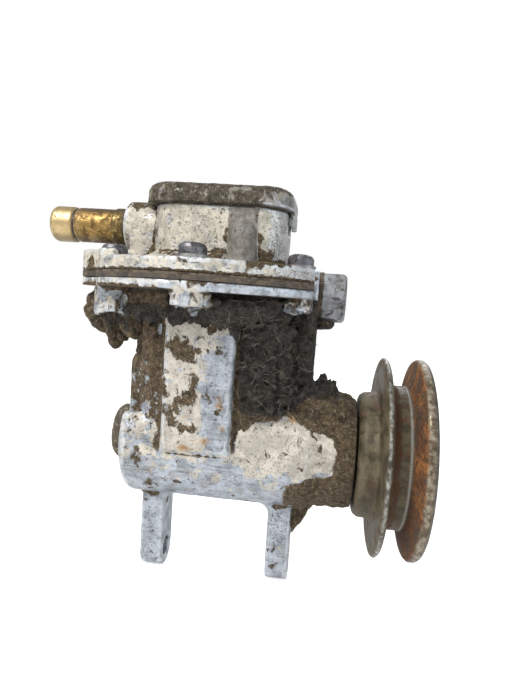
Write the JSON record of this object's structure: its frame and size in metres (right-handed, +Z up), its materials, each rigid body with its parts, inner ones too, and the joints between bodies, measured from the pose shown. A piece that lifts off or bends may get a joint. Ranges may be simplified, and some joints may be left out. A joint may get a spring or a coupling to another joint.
{
  "type": "diaphragm air compressor",
  "caption": "Small belt-driven diaphragm air compressor: cast body on pivot lugs, V-pulley on one end, flanged valve head with a brass hose tail.",
  "frame": {"origin": "centre of the pivot-bolt bore, midway between the two lugs", "axes": "+X along the pivot bore and the parallel shaft, towards the pulley; +Z up, from the pivot to the shaft and the head"},
  "size_m": [0.1644, 0.0956, 0.1583],
  "materials": {
    "cast_aluminium": "cast, weathered",
    "machined_aluminium": "machined",
    "pulley_steel": "worn and rusty",
    "cap_steel": "dark, dirty",
    "steel": "machined",
    "brass": "tarnished",
    "bronze": "machined",
    "rubber": "matt",
    "gasket_fibre": "fibrous",
    "gauze": "woven",
    "valve_plastic": "moulded"
  },
  "bodies": {
    "casing": {"crankcase": "cast_aluminium", "rear_end_cap": "cap_steel", "front_outer_race": "steel", "rear_outer_race": "steel", "bearing_snap_ring": "steel", "shaft_seal": "rubber", "diaphragm": "rubber", "head_gasket": "gasket_fibre", "valve_head": "cast_aluminium", "outlet_valve_seat": "brass", "outlet_valve_cage": "brass", "outlet_valve_spring": "steel", "inlet_valve_seat": "brass", "inlet_valve_cage": "brass", "inlet_valve_spring": "steel", "intake_gauze": "gauze", "head_lid": "cast_aluminium", "lid_gasket": "gasket_fibre", "flange_screws": "steel", "flange_washers": "steel", "lid_screws": "steel", "hose_tail": "brass", "filler_plug": "steel", "plug_washer": "gasket_fibre"},
    "shaft": {"drive_shaft": "steel", "pulley_key": "steel", "eccentric": "steel", "eccentric_set_screw": "steel", "counterweight": "steel", "front_inner_race": "steel", "rear_inner_race": "steel", "pulley_hub_half": "pulley_steel", "pulley_outer_half": "pulley_steel", "pulley_lock_washer": "steel", "pulley_nut": "steel"},
    "front_ball_ring": {"front_balls": "steel", "front_ball_cage": "steel"},
    "rear_ball_ring": {"rear_balls": "steel", "rear_ball_cage": "steel"},
    "rod": {"connecting_rod": "machined_aluminium", "big_end_bush": "bronze", "lower_diaphragm_plate": "machined_aluminium", "upper_diaphragm_plate": "machined_aluminium", "diaphragm_screw": "steel"},
    "outlet_valve": {"outlet_valve_disc": "valve_plastic"},
    "inlet_valve": {"inlet_valve_disc": "valve_plastic"}
  },
  "joints": [
    {"name": "shaft_spin", "type": "hinge", "parent": "casing", "child": "shaft", "pos_m": [-0.007, 0, 0.049], "axis": [1, 0, 0], "continuous": true},
    {"name": "front_ring_spin", "type": "hinge", "parent": "casing", "child": "front_ball_ring", "pos_m": [-0.007, 0, 0.049], "axis": [1, 0, 0], "continuous": true},
    {"name": "rear_ring_spin", "type": "hinge", "parent": "casing", "child": "rear_ball_ring", "pos_m": [-0.007, 0, 0.049], "axis": [1, 0, 0], "continuous": true},
    {"name": "rod_upright", "type": "hinge", "parent": "shaft", "child": "rod", "pos_m": [-0.007, 0, 0.0515], "axis": [1, 0, 0], "continuous": true, "deforming": ["diaphragm"]},
    {"name": "outlet_valve_lift", "type": "slide", "parent": "casing", "child": "outlet_valve", "axis": [0, 0, 1], "range_m": [0, 0.0015], "stiffness_N_per_m": 60, "springref_m": -0.002, "deforming": ["outlet_valve_spring"]},
    {"name": "inlet_valve_lift", "type": "slide", "parent": "casing", "child": "inlet_valve", "axis": [0, 0, -1], "range_m": [0, 0.0015], "stiffness_N_per_m": 60, "springref_m": -0.002, "deforming": ["inlet_valve_spring"]}
  ],
  "couplings": [
    {"joint": "front_ring_spin", "follows": "shaft_spin", "ratio": 0.38},
    {"joint": "rear_ring_spin", "follows": "shaft_spin", "ratio": 0.38},
    {"joint": "rod_upright", "follows": "shaft_spin", "ratio": -1}
  ]
}
